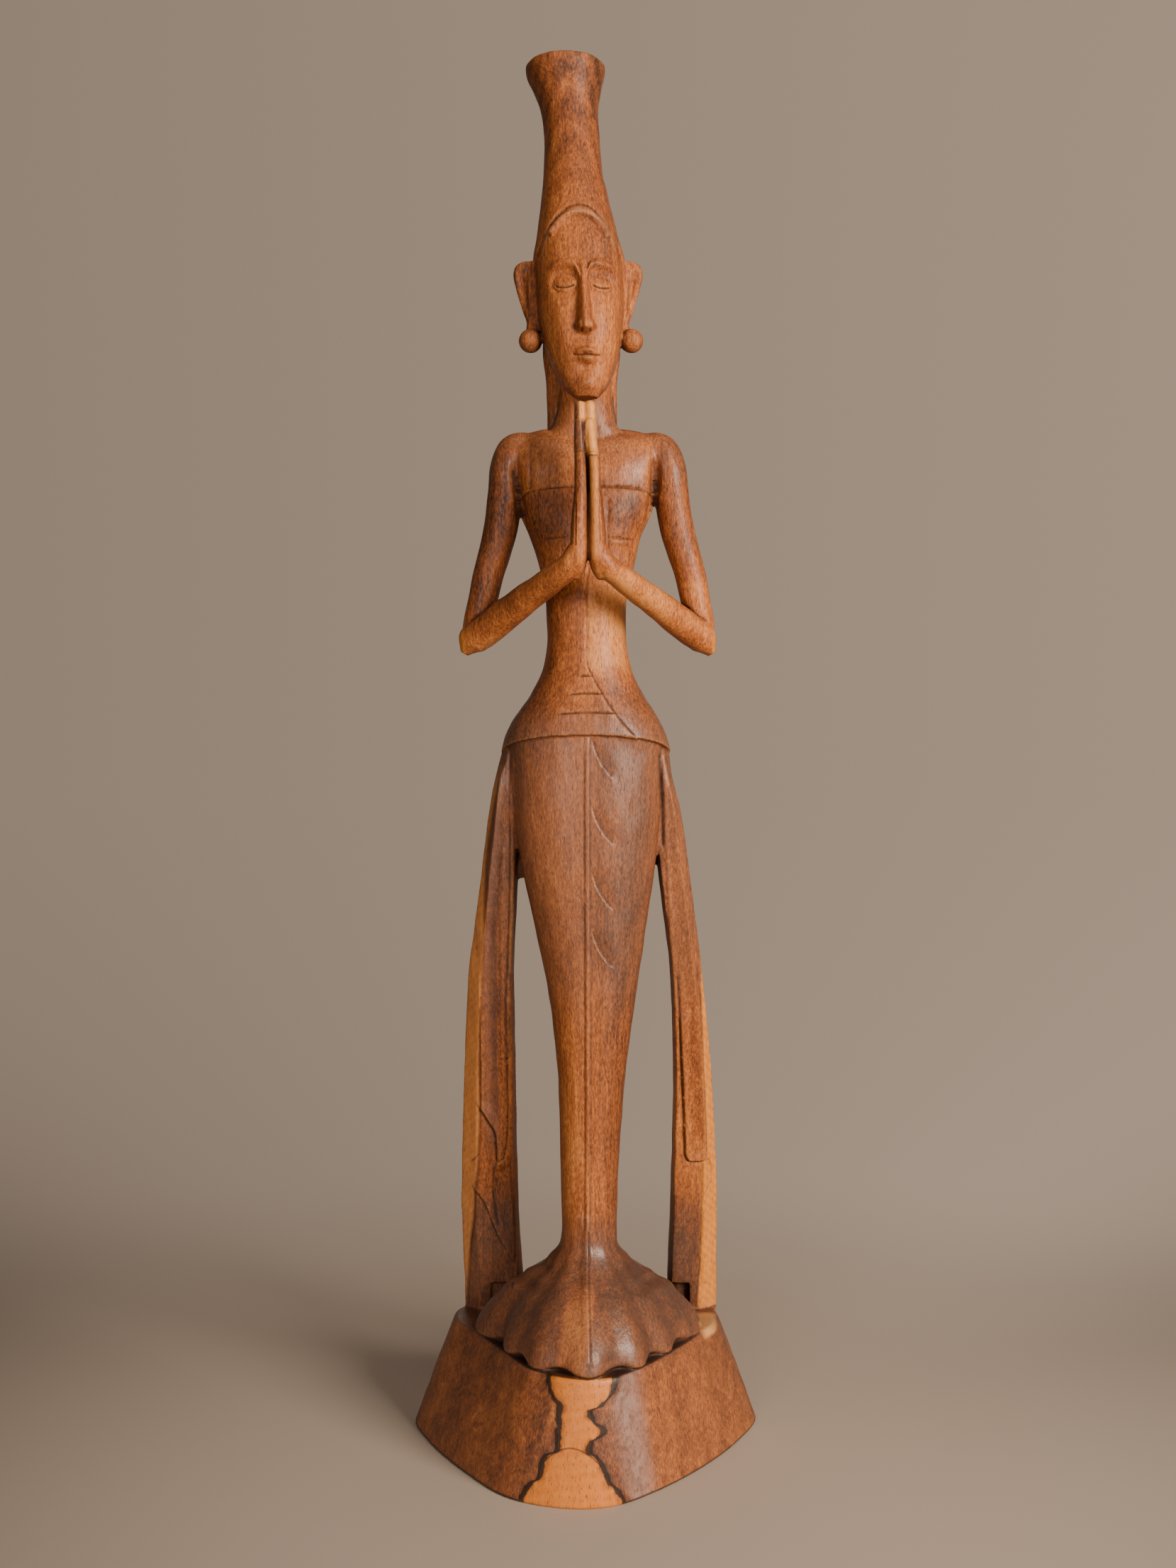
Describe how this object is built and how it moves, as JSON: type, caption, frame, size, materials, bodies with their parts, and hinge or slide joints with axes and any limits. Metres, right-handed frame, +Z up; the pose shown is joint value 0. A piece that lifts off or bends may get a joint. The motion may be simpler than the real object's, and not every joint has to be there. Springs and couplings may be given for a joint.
{
  "type": "carved wooden praying figure",
  "caption": "Slender standing figure with pressed hands, high flared hair, long sashes and a wedge base, carved from one piece of wood.",
  "frame": {"origin": "middle of the figure's box, on the surface the base stands on", "axes": "+Z up to the top of the hair, -Y towards the viewer, where the nose of the base points, +X to the viewer's right"},
  "size_m": [0.2598, 0.1936, 1],
  "materials": {
    "oiled_hardwood": "satin oiled heartwood with pale sapwood at the edges"
  },
  "bodies": {
    "root": {"praying_figure": "oiled_hardwood"}
  },
  "joints": []
}
